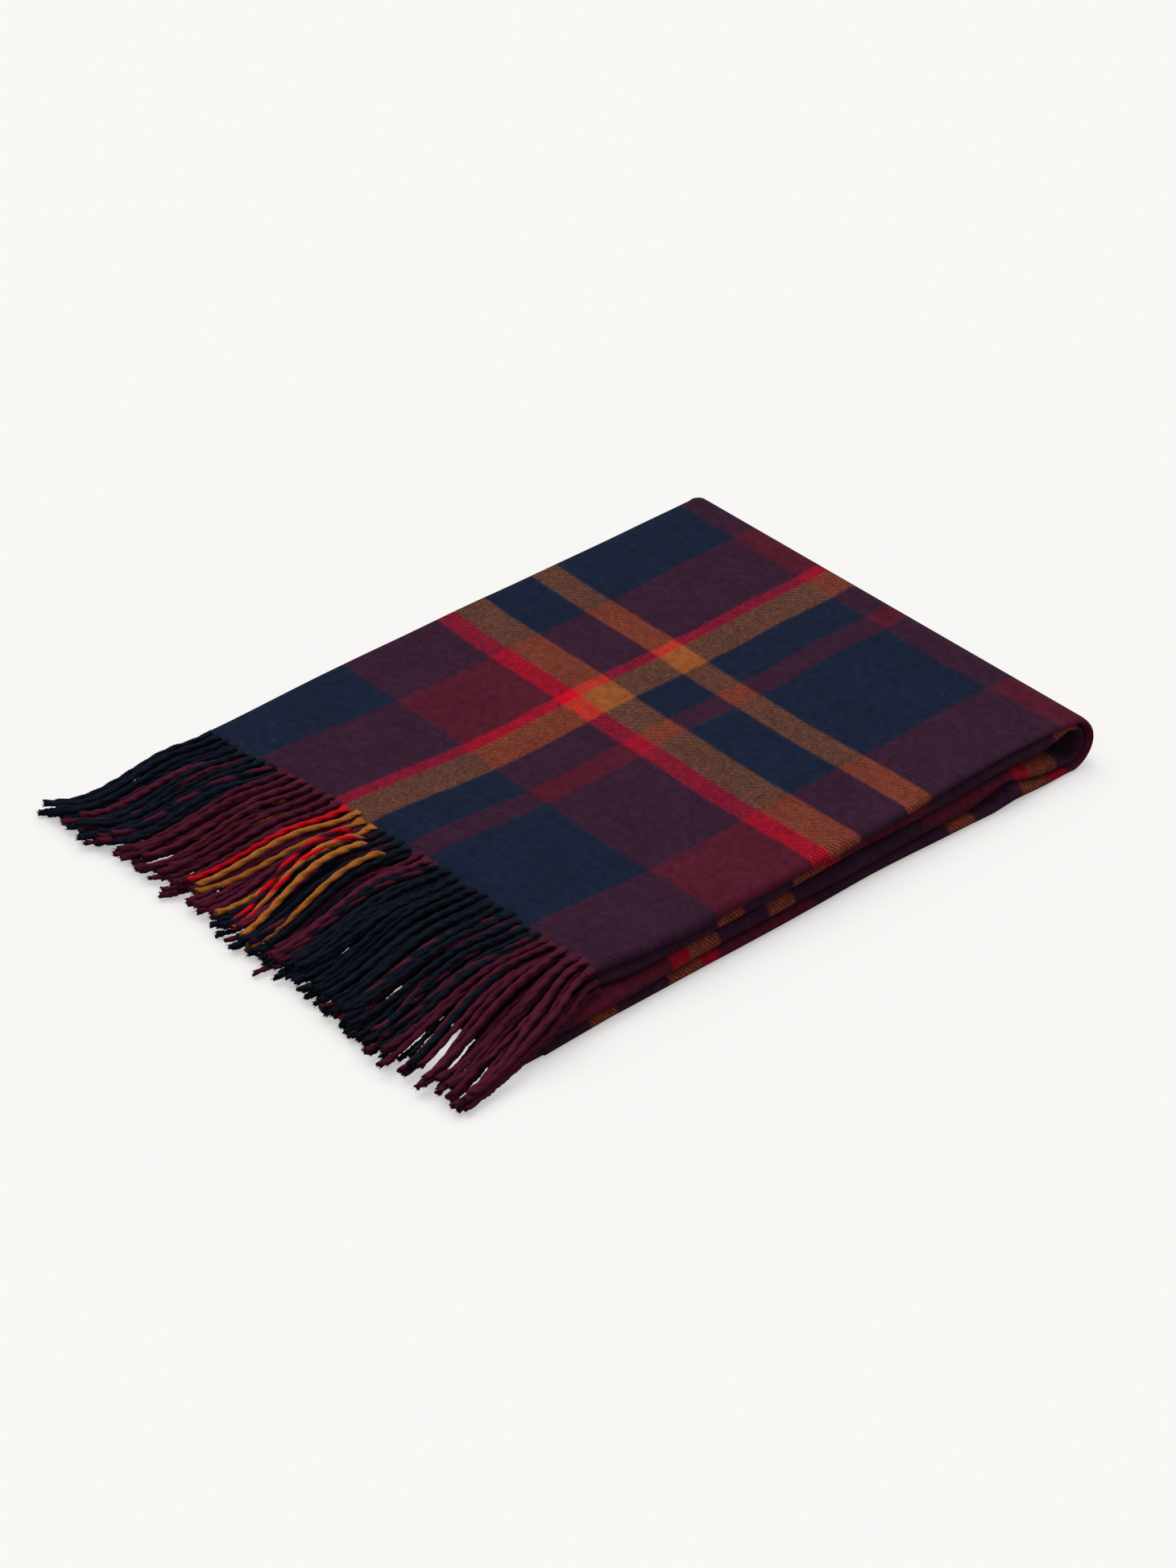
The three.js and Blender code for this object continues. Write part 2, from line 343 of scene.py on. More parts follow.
def section(quarter, x, edge, thick):
    """For rows at x, with that front edge and front thickness: each column's v, its depth in the
    pack as (share of the pack's thickness, fixed part), and its place across the cloth."""
    columns = section_columns()
    v = np.zeros((len(x), len(columns)))
    depth = np.zeros((len(x), len(columns), 2))
    weave = np.zeros((len(x), len(columns)))
    lift = PLY / 2 + 0.1
    # The thick front fold is about half as deep as it is thick, and rounder on the top quarter
    # towards the far turn. Where the pack is thin, the inner plies end further back.
    nose = np.clip(thick * 0.55, 3.6, 6.0)
    if quarter == "top":
        nose = nose + 3.0 * soft_step(345, FAR, x)
    recess = 8 + 48 * np.clip((9.3 - thick) / 4.3, 0, 1)
    nose_start = edge - nose
    # The back fold and the selvedges behind it wander a little.
    back = 2.5 + 1.2 * ripple(x, 0 * x, 5 + len(quarter), 40)
    back = back + (3 * (1 - soft_step(0, 90, x)) if quarter == "top" else 1.0)
    selvedge = back + 1.5 + 1.2 * ripple(x, 0 * x, 9 + len(quarter), 25)
    fold = 1.3
    # Where the front edge bulges past the folded width, the weave is stretched to reach it.
    flare = np.maximum(edge - WIDTH, 0)
    fold_start = np.minimum(nose_start - flare, WIDTH - 6)
    fold_length = np.minimum(2.0 * nose, WIDTH + 5 - fold_start)
    for j, (stretch, share) in enumerate(columns):
        turn = np.pi * (share - 0.5)
        if stretch == "inner_face":
            v[:, j] = selvedge + (nose_start - selvedge) * share
            depth[:, j] = (1, -lift)
            weave[:, j] = fold_start + fold_length + nose_start - v[:, j]
        elif stretch == "front_fold":
            v[:, j] = nose_start + nose * np.cos(turn)
            middle = 0.5 - 0.5 * np.sin(turn)
            depth[:, j] = (middle, lift - 2 * lift * middle)
            weave[:, j] = fold_start + fold_length * (1 - share)
        elif stretch == "face":
            v[:, j] = nose_start + (back + fold - nose_start) * share
            depth[:, j] = (0, lift)
            weave[:, j] = v[:, j] - flare * soft_step(200, 345, v[:, j])
        elif stretch == "back_fold":
            v[:, j] = back + fold - fold * np.cos(turn)
            depth[:, j] = (share / 3, lift - 0.66 * lift * share)
            weave[:, j] = back + fold - 4 * share
        elif stretch == "second_ply":
            v[:, j] = back + fold + (edge - recess - fold - back) * share
            depth[:, j] = (1 / 3, lift / 3)
            weave[:, j] = -v[:, j]
        elif stretch == "inner_fold":
            v[:, j] = edge - recess + fold * np.cos(turn)
            depth[:, j] = (1 / 3 + share / 3, lift / 3 - 2 * lift / 3 * share)
            weave[:, j] = -WIDTH + 3 - 3 * share
        else:
            v[:, j] = edge - recess + (selvedge - edge + recess) * share
            depth[:, j] = (2 / 3, -lift / 3)
            weave[:, j] = -2 * WIDTH + v[:, j]
    return v, depth, weave


def far_ring(v, quarter):
    """Radius of the outside of the far turn and its thickness at v, for the outer or the inner turn."""
    low = levels(np.full_like(v, FAR), v)["top"][0]
    outer = STACK / 2 + 0 * v
    thickness = STACK / 2 - (low - STACK / 2)
    if quarter in ("top", "bottom"):
        return outer, thickness
    inner = outer - thickness - LAY_GAP
    inner_thickness = np.minimum(thickness, inner - 1)
    return inner, inner_thickness


def stations(quarter):
    """Rows along a quarter: kind of stretch, x or angle in degrees, and the place along the cloth."""
    flat = np.arange(0, FAR + ROW_STEP, ROW_STEP)
    flat = flat * FAR / flat[-1]
    turning = np.linspace(0, 1, TURN_ROWS + 1)[1:]
    seam = NEAR + NEAR_SEAM
    if quarter == "top":
        rows = [("flat", x, x) for x in flat]
        return rows + [("far", 90 * (1 - t), FAR + OUTER_HALF_PATH * t) for t in turning]
    if quarter == "bottom":
        flat = np.linspace(seam, FAR, int((FAR - seam) / ROW_STEP))
        rows = [("flat", x, BOTTOM_PLACE - x) for x in flat]
        return rows + [("far", -90 * (1 - t), BOTTOM_PLACE - FAR - OUTER_HALF_PATH * t) for t in turning]
    if quarter == "third":
        flat = np.linspace(NEAR, FAR, int((FAR - NEAR) / ROW_STEP))
        rows = [("under", x, BOTTOM_PLACE - x) for x in np.linspace(seam, NEAR, 6)]
        rows += [("near", a, BOTTOM_PLACE - NEAR + NEAR_PATH * (-90 - a) / -180)
                 for a in np.linspace(-90, -270, NEAR_TURN_ROWS)[1:-1]]
        rows += [("flat", x, THIRD_PLACE + x) for x in flat]
        return rows + [("far", -90 * (1 - t), THIRD_PLACE + FAR + INNER_HALF_PATH * t) for t in turning]
    rows = [("flat", x, SECOND_PLACE - x) for x in flat]
    return rows + [("far", 90 * (1 - t), SECOND_PLACE - FAR - INNER_HALF_PATH * t) for t in turning]


def near_turn_row(kind, angle, x, v, depth):
    """One row of the third quarter's start: under the near turn, or round it at an angle in degrees."""
    heights = levels(x, v)
    low, below_high = heights["bottom"]
    above_low, high = heights["third"]
    if kind == "under":
        return np.stack([x, v, low + depth[:, 0] * (below_high - low) + depth[:, 1]], axis=-1)
    centre = (below_high + above_low) / 2
    a = math.radians(angle)
    climbed = (1 + math.sin(a)) / 2
    radius = (centre - low) * (1 - climbed) + (high - centre) * climbed
    thick = (below_high - low) * (1 - climbed) + (high - above_low) * climbed
    r = radius - (depth[:, 0] * thick + depth[:, 1])
    return np.stack([NEAR + r * math.cos(a), v, centre + r * math.sin(a)], axis=-1)


def lay_quarter(quarter):
    """The middle surface of one quarter: points (rows, columns, 3) as x, v, z, and its weave."""
    rows = stations(quarter)
    xs = np.array([{"far": FAR, "near": NEAR}.get(kind, place) for kind, place, _ in rows])
    # Round a far turn the front edge runs over to that of the turn's middle.
    share = np.array([abs(place) / 90 if kind == "far" else 1.0 for kind, place, _ in rows])
    turn_edge = OUTER_TURN_EDGE if quarter in ("top", "bottom") else INNER_TURN_EDGE
    edge = turn_edge + (along(xs, *FRONT_EDGE[quarter]) - turn_edge) * share ** 1.3
    edge = edge + 0.7 * ripple(xs, 0 * xs, 2 + len(quarter), 22) * (share > 0.99)
    front_low, front_high = levels(xs, np.full_like(xs, WIDTH))[quarter]
    v, depth, weave = section(quarter, xs, edge, front_high - front_low)
    x_grid = np.repeat(xs[:, None], v.shape[1], axis=1)
    low, high = levels(x_grid, v)[quarter]
    points = np.zeros(v.shape + (3,))
    face_up = quarter in ("top", "third")
    for i, (kind, place, _) in enumerate(rows):
        if kind == "flat":
            t = depth[i, :, 0] * (high[i] - low[i]) + depth[i, :, 1]
            z = high[i] - t if face_up else low[i] + t
            points[i] = np.stack([x_grid[i], v[i], z], axis=-1)
        elif kind == "far":
            radius, thick = far_ring(v[i], quarter)
            t = depth[i, :, 0] * thick + depth[i, :, 1]
            if quarter in ("second", "third"):
                t = thick - t
            r = radius - t
            a = math.radians(place)
            points[i] = np.stack([FAR + r * math.cos(a), v[i], STACK / 2 + r * math.sin(a)], axis=-1)
        else:
            points[i] = near_turn_row(kind, place, x_grid[i], v[i], depth[i])
    along_cloth = np.repeat(np.array([place for _, _, place in rows])[:, None], v.shape[1], axis=1)
    if quarter in ("top", "second"):
        points[..., 0] += root_edge(v) * (1 - soft_step(0, 120, x_grid))
    if quarter in UNDER_DRIFT:
        along_cloth = along_cloth + along(x_grid, *UNDER_DRIFT[quarter])
    if quarter == "top":
        weave = weave - warp_drift(x_grid) * (1 - soft_step(300, 345, v))
        along_cloth = along_cloth - weft_drift(v)
    along_cloth = along_cloth + 0.8 * ripple(x_grid, v, 11, 26)
    weave = weave + 0.8 * ripple(along_cloth, 0.3 * weave, 7, 26)
    return points, np.stack([weave, along_cloth], axis=-1) * MM


def normals_of(points):
    """Unit normals of a grid of points, by differences."""
    normal = np.cross(np.gradient(points, axis=0), np.gradient(points, axis=1))
    return normal / np.maximum(np.linalg.norm(normal, axis=-1, keepdims=True), 1e-9)


def cloth_object(name, points, faces, uv):
    """A smooth mesh object of points in metres and quads, with its UV map 'weave'."""
    mesh = bpy.data.meshes.new(name)
    mesh.vertices.add(len(points))
    mesh.vertices.foreach_set("co", np.asarray(points, np.float32).ravel())
    corners = np.asarray(faces, np.int32)
    mesh.loops.add(corners.size)
    mesh.loops.foreach_set("vertex_index", corners.ravel())
    mesh.polygons.add(len(corners))
    mesh.polygons.foreach_set("loop_start", np.arange(len(corners), dtype=np.int32) * corners.shape[1])
    mesh.update(calc_edges=True)
    layer = mesh.uv_layers.new(name="weave")
    layer.data.foreach_set("uv", np.asarray(uv, np.float32)[corners.ravel()].ravel())
    mesh.validate()
    piece = bpy.data.objects.new(name, mesh)
    bpy.context.scene.collection.objects.link(piece)
    mesh.materials.append(wool)
    mesh.shade_smooth()
    return piece


def cloth_piece(name, quarter):
    """A quarter of the cloth with its real thickness: both faces and its four edges, closed."""
    points, weave = lay_quarter(quarter)
    normal = normals_of(points)
    rows, cols = points.shape[:2]
    sides = [points + normal * PLY / 2, points - normal * PLY / 2]
    stacked = np.concatenate([row_frame(p[..., 0], p[..., 1], p[..., 2]).reshape(-1, 3) for p in sides])
    index = np.arange(rows * cols).reshape(rows, cols)
    a, b, c, d = index[:-1, :-1], index[1:, :-1], index[1:, 1:], index[:-1, 1:]
    upper = np.stack([a, d, c, b], axis=-1).reshape(-1, 4)
    lower = np.stack([a, b, c, d], axis=-1).reshape(-1, 4) + rows * cols
    rim = np.concatenate([index[0], index[1:, -1], index[-1, -2::-1], index[-2:0:-1, 0]])
    following = np.roll(rim, -1)
    edge = np.stack([rim, following, following + rows * cols, rim + rows * cols], axis=-1)
    faces = np.concatenate([upper, lower, edge])
    uv = np.concatenate([weave.reshape(-1, 2)] * 2)
    piece = cloth_object(name, stacked, faces, uv)
    bpy.context.view_layer.objects.active = piece
    piece.select_set(True)
    bpy.ops.object.mode_set(mode="EDIT")
    bpy.ops.mesh.select_all(action="SELECT")
    bpy.ops.mesh.normals_make_consistent(inside=False)
    bpy.ops.object.mode_set(mode="OBJECT")
    bpy.ops.object.shade_smooth_by_angle(angle=math.radians(50))
    piece.select_set(False)
    return piece


top_cloth = cloth_piece("top_quarter_cloth", "top")
bottom_cloth = cloth_piece("bottom_quarter_cloth", "bottom")
third_cloth = cloth_piece("third_quarter_cloth", "third")
second_cloth = cloth_piece("second_quarter_cloth", "second")

# Each quarter's transform is baked into its mesh, and the CAD parts that the cloth stands for are hidden.
# The middles of the outer and inner far turns are worked out but not used.
half = STACK / 2
inner_half = PITCH - 0.15
outer_middle = tuple(row_frame(FAR + half, 0.0, half))
inner_middle = tuple(row_frame(FAR + inner_half, 0.0, half))
tuple(row_frame(FAR, 0.0, 0.0))
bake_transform(bottom_cloth)
tuple(row_frame(FAR, 0.0, half - inner_half))
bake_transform(third_cloth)
tuple(row_frame(FAR, 0.0, STACK))
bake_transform(top_cloth)
tuple(row_frame(FAR, 0.0, half + inner_half))
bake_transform(second_cloth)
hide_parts("bottom_quarter", "outer_turn_lower")
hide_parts("third_quarter", "near_turn", "inner_turn_lower")
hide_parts("top_quarter", "outer_turn_upper", "outer_turn_spine")
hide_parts("second_quarter", "inner_turn_upper", "inner_turn_spine")


# ---------------------------------------------------------------------------------------------
# The fringe: warp ends left long at each end of the cloth and twisted two by two into soft cords.
# A cord is about 4.2 mm thick, and one leaves the edge every 8 mm of each ply. Its two yarns keep
# the colours of the warp stripe that they come from, so cords on a stripe's edge are two-coloured.

CORD_SPACING = 8.0
CORD_LENGTH = 112.0
CORD_LENGTH_EXTRA = 5  # at the front half
TIP_REACH = 94  # from the root line to the tips of the back cords, in plan
CORD_TWIST = 21.0  # length of one turn of the two yarns
YARN_RADIUS = 1.54
YARN_OFFSET = 0.55
WARP_REACH = 2.2  # how far to each side of its root a cord takes in warp ends
ROOT_OVERLAP = 2.5
CLUMP_WIDTH = 27.0
LAYERS = 8
# The first and last cords of a row, from the back: the other end of the cloth reaches further forward.
FIRST_CORD = 6.0
LAST_CORD = 342.0
LAST_UNDER_CORD = 345.0
# The corner's cords fan out past this place only slowly, and those of its stripe are all burgundy.
CORNER_LIMIT = 351
CORNER_STRIPE = 296
# Bright cords of the third ply come up between the others, back from here.
RISEN_END = 143
HIDDEN_SHORTER = 26
HIDDEN_LOWER = 8.0
CORD_TONES = {NAVY: "#0f1523", BURGUNDY: "#4e172b", RED: "#d40c1e", GOLD: "#a5622a"}
YARN_FIBRE_SCALE = (1500, 330, 1)  # fibres about 0.7 mm wide and 3 mm long, in counts a metre
# Distance between the rings of a cord's mesh, for the cords that show best and for the others.
FINE_STEP = 2.4
PLAIN_STEP = 3.4
HAIRS = 7
HAIR_RADIUS = 0.28
FULL_TURN = 6.28
draw = np.random.default_rng(7)
clump_start = draw.uniform(0, 1, LAYERS)
clump_shift = draw.normal(0, 1, (LAYERS, 20)) * np.array([5, 5, 4, 4, 3, 2, 2, 2])[:, None]


def twisted_yarn():
    """Woollen yarn in cord: matt and hairy, with fibres that follow the twist."""
    yarn = new_material("twisted_wool_yarn")
    colour = node(yarn, "ShaderNodeAttribute", {"attribute_name": "yarn"}).outputs["Color"]
    uv = node(yarn, "ShaderNodeUVMap", {"uv_map": "weave"}).outputs[0]
    place = node(yarn, "ShaderNodeMapping", {}, {"Scale": YARN_FIBRE_SCALE}, {"Vector": uv})
    fibres = node(yarn, "ShaderNodeTexNoise", {}, {"Scale": 1, "Detail": 3, "Roughness": 0.7},
                  {"Vector": place.outputs[0]}).outputs["Fac"]
    shaded = node(yarn, "ShaderNodeVectorMath", {"operation": "SCALE"}, {},
                  {0: colour, "Scale": maths(yarn, "MULTIPLY_ADD", fibres, 1.5, 0.2)})
    bump = node(yarn, "ShaderNodeBump", {}, {"Strength": 0.6, "Distance": 0.0004}, {"Height": fibres})
    shader = yarn.node_tree.nodes["Principled BSDF"]
    shader.inputs["Roughness"].default_value = 0.95
    shader.inputs["Specular IOR Level"].default_value = 0.08
    shader.inputs["Sheen Weight"].default_value = 0.02
    shader.inputs["Sheen Roughness"].default_value = 0.4
    yarn.node_tree.links.new(shaded.outputs[0], shader.inputs["Base Color"])
    yarn.node_tree.links.new(bump.outputs[0], shader.inputs["Normal"])
    return yarn


yarn = twisted_yarn()


def warp_yarn(place):
    """The yarn whose warp ends stand at that place across the cloth."""
    wrapped = place % WARP_REPEAT
    return [colour for start, colour in WARP if start <= wrapped][-1]


def splay(v):
    """How far a cord's tip lies sideways of its root: to the back, and forward at the front corner."""
    return along(v, (0, -29), (30, -33), (60, -36), (140, -31), (185, -17),
                 (240, -12), (296, -3), (322, 17), (340, 16))


def cord_path(v, layer, risen):
    """A cord's centreline in mm: level over the near turn, then down to the ground or the pile.
    Layer 0 is the uppermost. A risen cord comes up between the cords of the plies over it."""
    under = LAYERS - 1 - layer
    root = root_edge(v) + ROOT_OVERLAP + draw.normal(0, 1.3)
    reach = TIP_REACH + 3 * soft_step(0, 60, v) + 9 * soft_step(180, 300, v) + draw.normal(0, 3)
    # Cords lie together in clumps, each clump a little to one side.
    clump = int(v / CLUMP_WIDTH + clump_start[layer])
    centre = (clump + 0.5 - clump_start[layer]) * CLUMP_WIDTH
    gather = (0.35 if layer < 4 else 0.15) + 0.2 * soft_step(CORNER_STRIPE, 315, v)
    wander = gather * (centre - v) + clump_shift[layer, clump] + draw.normal(0, 2.5)
    bow = draw.normal(0, 2.2) + 2.5 * ripple(v, layer * 5.0, 8, 17)
    lift = abs(draw.normal(0, 1.8))
    stray = draw.normal(0, 9) if draw.random() < 0.12 and layer < 4 else 0
    inward = soft_step(4, 40, v)
    sideways = (-12 if risen else splay(v)) + inward * (wander + stray)
    t = np.linspace(0, 1.3, 100)
    x = root - t * (reach + root)
    side = v + sideways * t ** 2 + inward * bow * np.sin(np.pi * t)
    corner = soft_step(300, 335, v)
    rest = 2.3 + under * 1.2 + abs(draw.normal(0, 1.0))
    drop_start = 0.42 - 0.018 * under + draw.normal(0, 0.03)
    side = side + corner * (9 + 0.5 * layer) * soft_step(0.02, 0.42, t)
    drop_start = drop_start - (0.16 + 0.03 * layer) * corner
    sunk = 1.7 * (1 - soft_step(6, 13, v)) if layer == 0 else 0
    height = STACK - 1.9 - layer * PITCH / 4 - sunk
    z = height + (rest - height) * soft_step(drop_start, 1.04 - 0.2 * corner, t)
    z = z + 1.0 * (1 - soft_step(0, 0.12, t)) + inward * lift * np.sin(np.pi * np.clip(t, 0, 1)) ** 2
    # A risen cord goes to the front and up out of the pile, and sinks back to its tip.
    if risen:
        side = side + 26 + 0.35 * (v - 123)
        z = z + 8.5 * soft_step(0.04, 0.22, t) * (1 - soft_step(0.5, 1.05, t))
    side = np.where(side > CORNER_LIMIT, CORNER_LIMIT + 0.3 * (side - CORNER_LIMIT), side)
    return np.stack([x, side, z], axis=-1)


def frayed_end(tip, tangent, side, up, tint):
    """Loose fibres at a cut end: points, faces and colours of a few thin spikes."""
    points, faces, count = [], [], 0
    for _ in range(HAIRS):
        angle, spread = draw.uniform(0, FULL_TURN), draw.uniform(0.1, 1.5)
        out = side * math.cos(angle) + up * math.sin(angle)
        base = tip + out * spread - tangent * 1.0
        aim = tangent * draw.uniform(1.8, 4.2) + out * draw.uniform(0, 1.6)
        ring = [base + HAIR_RADIUS * (side * math.cos(k) + up * math.sin(k)) for k in (0, 2.09, 4.19)]
        points += ring + [base + aim]
        faces += [[count, count + 1, count + 3], [count + 1, count + 2, count + 3],
                  [count + 2, count, count + 3], [count + 2, count + 1, count]]
        count += 4
    return np.array(points), faces, np.tile(tint * 0.9, (count, 1))


def cord_mesh(path, length, colours, fine):
    """Points, faces, UVs and colours of one two-yarn cord along that path, with a frayed cut end.
    The cords that show best are fine: their rings are closer and have more sides."""
    steps = np.linalg.norm(np.diff(path, axis=0), axis=1)
    travelled = np.concatenate([[0], np.cumsum(steps)])
    rings = int(length / (FINE_STEP if fine else PLAIN_STEP))
    sides = 12 if fine else 8
    at = np.linspace(0, length, rings)
    line = np.stack([np.interp(at, travelled, path[:, k]) for k in range(3)], axis=-1)
    tangent = np.gradient(line, axis=0)
    tangent /= np.linalg.norm(tangent, axis=1, keepdims=True)
    side = np.cross(tangent, [0.0, 0.0, 1.0])
    side /= np.linalg.norm(side, axis=1, keepdims=True)
    up = np.cross(side, tangent)
    twist = 2 * np.pi * at / (CORD_TWIST * draw.uniform(0.85, 1.25)) + draw.uniform(0, FULL_TURN)
    around = np.arange(sides) * 2 * np.pi / sides
    lobe = YARN_OFFSET * np.abs(np.cos(around))
    radius = lobe + np.sqrt(YARN_RADIUS ** 2 - (YARN_OFFSET * np.sin(around)) ** 2)
    swell = 1 + 0.07 * np.sin(at * 0.4 + draw.uniform(0, 6)) + 0.08 * soft_step(length - 9, length - 2, at)
    swell = swell * draw.uniform(0.9, 1.12)
    spin = around[None, :] + twist[:, None]
    out = radius[None, :] * swell[:, None]
    # At the root the yarn is gathered from the width of cloth that it comes out of.
    free = soft_step(0, 9, at)[:, None]
    points = line[:, None] + side[:, None] * (out * np.cos(spin) * (1.75 - 0.75 * free))[..., None]
    points = points + up[:, None] * (out * np.sin(spin) * (0.45 + 0.55 * free))[..., None]
    points[-1] += tangent[-1] * draw.uniform(-1.4, 1.6, sides)[:, None]
    index = np.arange(rings * sides).reshape(rings, sides)
    nxt = np.roll(index, -1, axis=1)
    quads = np.stack([index[:-1], nxt[:-1], nxt[1:], index[1:]], axis=-1).reshape(-1, 4)
    root, tip = rings * sides, rings * sides + 1
    caps = [[root, nxt[0, k], index[0, k]] for k in range(sides)]
    caps += [[tip, index[-1, k], nxt[-1, k]] for k in range(sides)]
    uv_around = np.repeat((around / (2 * np.pi) * 0.012)[None], rings, axis=0)
    uv_along = np.repeat(at[:, None] * MM, sides, axis=1)
    first = np.cos(around) >= 0
    tint = np.where(first[:, None], colours[0], colours[1]) * draw.uniform(0.8, 1.2)
    hairs, hair_faces, hair_shade = frayed_end(line[-1], tangent[-1], side[-1], up[-1], tint[0])
    caps += [[k + tip + 1 for k in face] for face in hair_faces]
    points = np.concatenate([points.reshape(-1, 3), line[:1], line[-1:] - tangent[-1:] * 1.2, hairs])
    uv = np.stack([uv_around, uv_along], axis=-1).reshape(-1, 2)
    uv = np.concatenate([uv, np.zeros((2 + len(hairs), 2))]) + draw.uniform(0, 5, 2)
    # The centres of the cord's two cut ends are painted shade at 0.6 of the yarn's colour; the tip's
    # centre is sunk 1.2 mm into the cord.
    shade = np.concatenate([np.tile(tint, (rings, 1)), tint[:1] * 0.6, tint[:1] * 0.6, hair_shade])
    return points, quads, caps, uv, shade


def cord_bundle(name, cords, fine):
    """All the cords of one bundle as one piece. cords holds (v, place across the cloth, layer)."""
    points, quads, caps, uvs, shades, count = [], [], [], [], [], 0
    for v, place, layer in cords:
        yarns = [warp_yarn(place - WARP_REACH), warp_yarn(place + WARP_REACH)]
        bright = RED in yarns or GOLD in yarns
        risen = layer == 2 and bright and v < RISEN_END
        path = cord_path(v, layer, risen)
        length = CORD_LENGTH + CORD_LENGTH_EXTRA * soft_step(180, 300, v) + draw.normal(0, 3.5)
        if bright and layer > 0 and not risen:
            if v > CORNER_STRIPE:
                # No bright yarn comes out at the front corner, in any ply.
                yarns = [BURGUNDY, BURGUNDY]
            else:
                # These lie short and low, quite covered by the cords over them.
                length -= HIDDEN_SHORTER
                path[:, 2] -= HIDDEN_LOWER
        colours = [linear(CORD_TONES[y]) for y in yarns]
        p, q, c, uv, shade = cord_mesh(path, length, colours, fine)
        points.append(p)
        quads.append(q + count)
        caps += [[k + count for k in cap] for cap in c]
        uvs.append(uv)
        shades.append(shade)
        count += len(p)
    points = np.concatenate(points)
    placed = row_frame(points[:, 0], points[:, 1], np.maximum(points[:, 2], 0.2))
    mesh = bpy.data.meshes.new(name)
    mesh.from_pydata(placed.tolist(), [], np.concatenate(quads).tolist() + caps)
    layer_uv = mesh.uv_layers.new(name="weave")
    corner = np.zeros(len(mesh.loops), np.int32)
    mesh.loops.foreach_get("vertex_index", corner)
    layer_uv.data.foreach_set("uv", np.concatenate(uvs)[corner].astype(np.float32).ravel())
    tone = mesh.color_attributes.new("yarn", "FLOAT_COLOR", "POINT")
    tone.data.foreach_set("color", np.concatenate(shades).astype(np.float32).ravel())
    mesh.materials.append(yarn)
    mesh.shade_smooth()
    piece = bpy.data.objects.new(name, mesh)
    bpy.context.scene.collection.objects.link(piece)
    return piece


def cord_row(ply, layer):
    """The cords of one ply as (v, place across the cloth, layer), set between those of the next ply."""
    front = LAST_CORD if layer < 4 else LAST_UNDER_CORD
    first = FIRST_CORD + (layer % 2) * CORD_SPACING / 2
    cords = []
    for v in np.arange(first, front - 2, CORD_SPACING):
        v = v + draw.normal(0, 0.8)
        place = {1: v, 2: -v, 3: v - 2 * WIDTH, 4: 2 * WIDTH - 10 - v}[ply]
        cords.append((v, place, layer))
    return cords


def hang_from_upper(piece, v):
    """Bakes a bundle's transform into its mesh. The cloth's edge at v is worked out but not used."""
    edge = float(root_edge(v))
    tuple(row_frame(edge - 2.0, 0.0, STACK))
    tuple(row_frame(edge - 18.0, 0.0, STACK))
    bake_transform(piece)


# One bundle to a warp stripe: name, yarn, and where it ends.
BUNDLES = [("navy_back", "navy", 59.5), ("burgundy_back", "burgundy", 122), ("red", "red", 131),
           ("gold", "gold", 155), ("navy_middle", "navy", 186), ("burgundy_middle", "burgundy", 204),
           ("navy_front", "navy", 294), ("burgundy_front", "burgundy", WIDTH)]
face_row = cord_row(1, 0)
low = 0
for stripe, colour, high in BUNDLES:
    piece = cord_bundle("cords_" + stripe, [cord for cord in face_row if low <= cord[0] < high], True)
    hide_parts("fringe_" + stripe)
    hang_from_upper(piece, (low + high) / 2)
    low = high
for ply in (2, 3, 4):
    piece = cord_bundle(f"cords_ply_{ply}", cord_row(ply, ply - 1), ply < 4)
    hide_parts(f"fringe_ply_{ply - 1}")
    hang_from_upper(piece, WIDTH / 2)
for order, ply in enumerate((4, 3, 2, 1)):
    piece = cord_bundle(f"under_cords_ply_{ply}", cord_row(ply, 4 + order), order < 1)
    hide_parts(f"under_fringe_ply_{4 - order}")
    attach(piece, "upper")


# ---------------------------------------------------------------------------------------------
# The setting: a seamless pale floor that glows towards the camera and has a painted shadow by the cloth,
# one broad soft light from behind on the left, and a pale room.

FLOOR_SIZE = 14
# Just under the ground, so that the cloth never lies in it.
FLOOR_DROP = 0.0004
FLOOR_GREY = "#8d8c8b"
FLOOR_WHITE = "#fcfbf9"
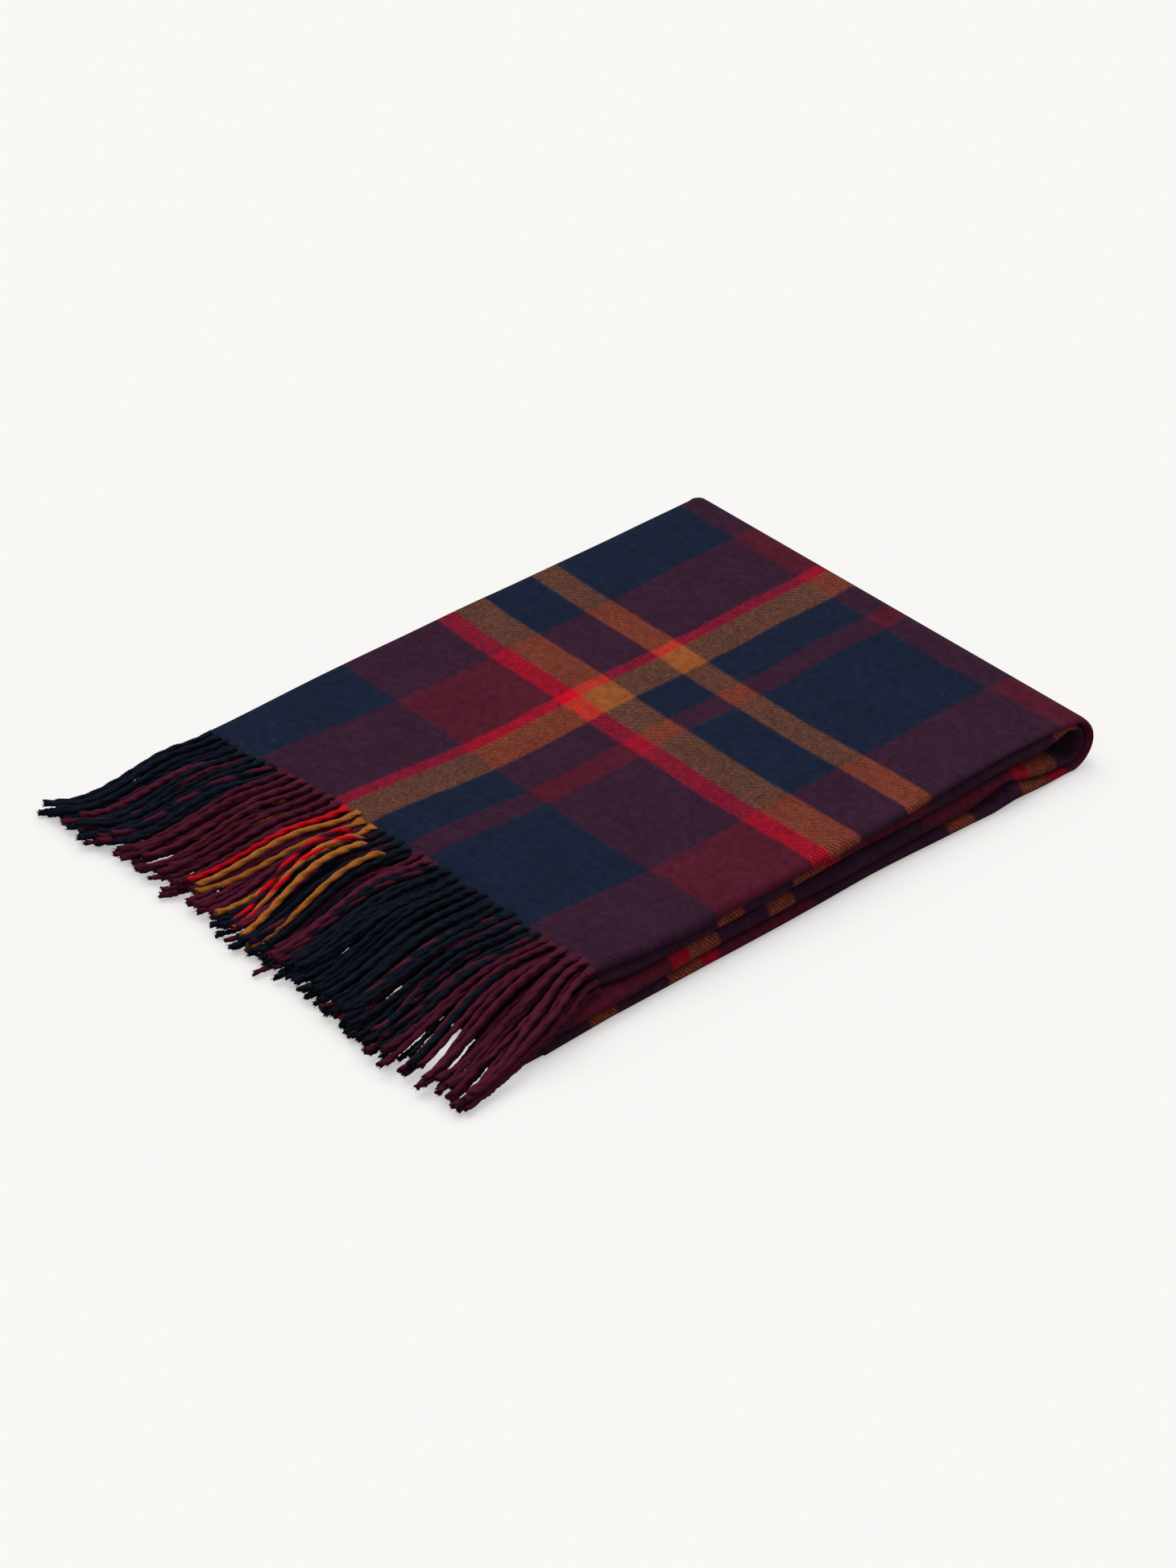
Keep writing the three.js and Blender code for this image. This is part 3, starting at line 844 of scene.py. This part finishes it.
# The floor glows towards the camera, though it is no lamp: the first glow below is what it keeps in the
# painted shadow by the cloth, the second is what open floor has beyond that, and the reach is how far from
# the cloth the painted shadow goes.
GLOW_IN_PAINTED_SHADOW = 0.37
GLOW_OUTSIDE_PAINTED_SHADOW = 0.33
PAINTED_SHADOW_REACH = 0.012
bpy.ops.mesh.primitive_plane_add(size=FLOOR_SIZE, location=(0, 0, -FLOOR_DROP))
floor = bpy.context.active_object
floor.name = "floor"
floor.select_set(False)
painted_shadow_floor = new_material("white_floor_with_painted_shadow")
floor_shader = painted_shadow_floor.node_tree.nodes["Principled BSDF"]
floor_shader.inputs["Base Color"].default_value = linear(FLOOR_GREY)
floor_shader.inputs["Roughness"].default_value = 0.9
floor_shader.inputs["Specular IOR Level"].default_value = 0.0
floor_shader.inputs["Emission Color"].default_value = linear(FLOOR_WHITE)
# Painted shadow: an ambient occlusion mask dims the floor's glow right under and beside the cloth, so the
# floor is darkest there.
painted_shadow_ao = node(painted_shadow_floor, "ShaderNodeAmbientOcclusion", {"samples": 8}, {"Distance": PAINTED_SHADOW_REACH})
glow = maths(painted_shadow_floor, "MULTIPLY_ADD", painted_shadow_ao.outputs["AO"], GLOW_OUTSIDE_PAINTED_SHADOW, GLOW_IN_PAINTED_SHADOW)
seen = node(painted_shadow_floor, "ShaderNodeLightPath").outputs["Is Camera Ray"]
strength = maths(painted_shadow_floor, "MULTIPLY", seen, glow)
painted_shadow_floor.node_tree.links.new(strength, floor_shader.inputs["Emission Strength"])
floor.data.materials.append(painted_shadow_floor)

ROOM_WHITE = "#fbfaf8"
ROOM_STRENGTH = 0.56
world = bpy.data.worlds.new("room")
world.use_nodes = True
room = world.node_tree.nodes["Background"]
room.inputs["Color"].default_value = linear(ROOM_WHITE)
room.inputs["Strength"].default_value = ROOM_STRENGTH
bpy.context.scene.world = world
bpy.context.scene.view_settings.view_transform = "Standard"

WINDOW_STRENGTH = 1.55
WINDOW_WIDTH = math.radians(45)
WINDOW_AIM = Vector((0.10, -0.30, -0.95))
sun = bpy.data.objects.new("window_light", bpy.data.lights.new("window_light", "SUN"))
sun.data.energy = WINDOW_STRENGTH
sun.data.angle = WINDOW_WIDTH
sun.rotation_euler = WINDOW_AIM.to_track_quat("-Z", "Y").to_euler()
bpy.context.scene.collection.objects.link(sun)

# The camera stands at the front left, above the fringe corner.
AZIMUTH = math.radians(-41.436)
ELEVATION = math.radians(35.515)
DISTANCE = 2.4479
LENS = 92.45
AIM = (129.1, 204.7, STACK)
towards_camera = np.array([math.sin(AZIMUTH) * math.cos(ELEVATION),
                           -math.cos(AZIMUTH) * math.cos(ELEVATION), math.sin(ELEVATION)])
camera = bpy.data.objects.new("camera", bpy.data.cameras.new("camera"))
camera.data.lens = LENS
camera.data.clip_end = 50
camera.location = row_frame(*AIM) + towards_camera * DISTANCE
camera.rotation_euler = (math.pi / 2 - ELEVATION, 0, AZIMUTH)
bpy.context.scene.collection.objects.link(camera)
bpy.context.scene.camera = camera
